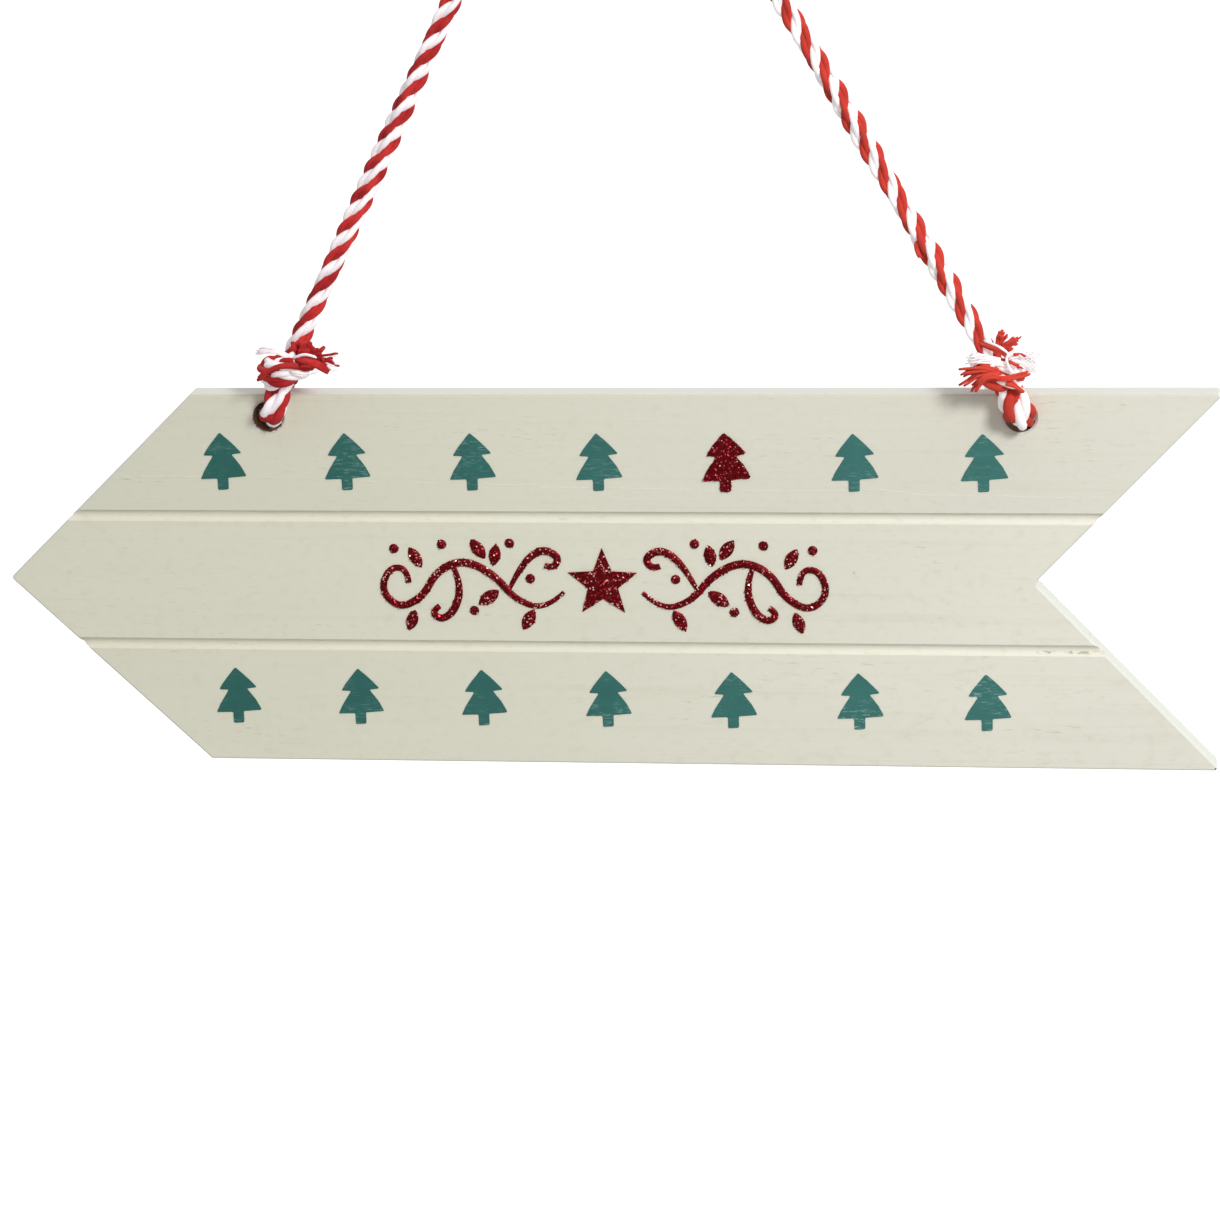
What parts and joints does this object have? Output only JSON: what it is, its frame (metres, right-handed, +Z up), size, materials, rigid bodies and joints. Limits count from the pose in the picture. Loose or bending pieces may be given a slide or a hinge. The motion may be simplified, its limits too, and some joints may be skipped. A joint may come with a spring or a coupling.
{
  "type": "hanging arrow sign",
  "caption": "Arrow-shaped painted plank sign with a swallow tail, printed fir trees and glitter, hung by a knotted red and white rope through holes near its top edge.",
  "frame": {"origin": "underside of the rope's bight, where it lies on its hook", "axes": "+X from the arrow's point to its tail, -Y out of the printed face, +Z up"},
  "size_m": [0.3983, 0.0292, 0.3447],
  "materials": {
    "painted_wood": "matt cream paint over grain",
    "rope": "red and white twisted yarn",
    "tree_ink": "matt teal ink",
    "red_glitter": "red glitter"
  },
  "bodies": {
    "root": {"top_plank": "painted_wood", "middle_plank": "painted_wood", "bottom_plank": "painted_wood", "hanging_rope": "rope", "left_knot": "rope", "right_knot": "rope", "left_tail": "rope", "right_tail": "rope", "tree_prints": "tree_ink", "glitter_tree": "red_glitter"}
  },
  "joints": []
}
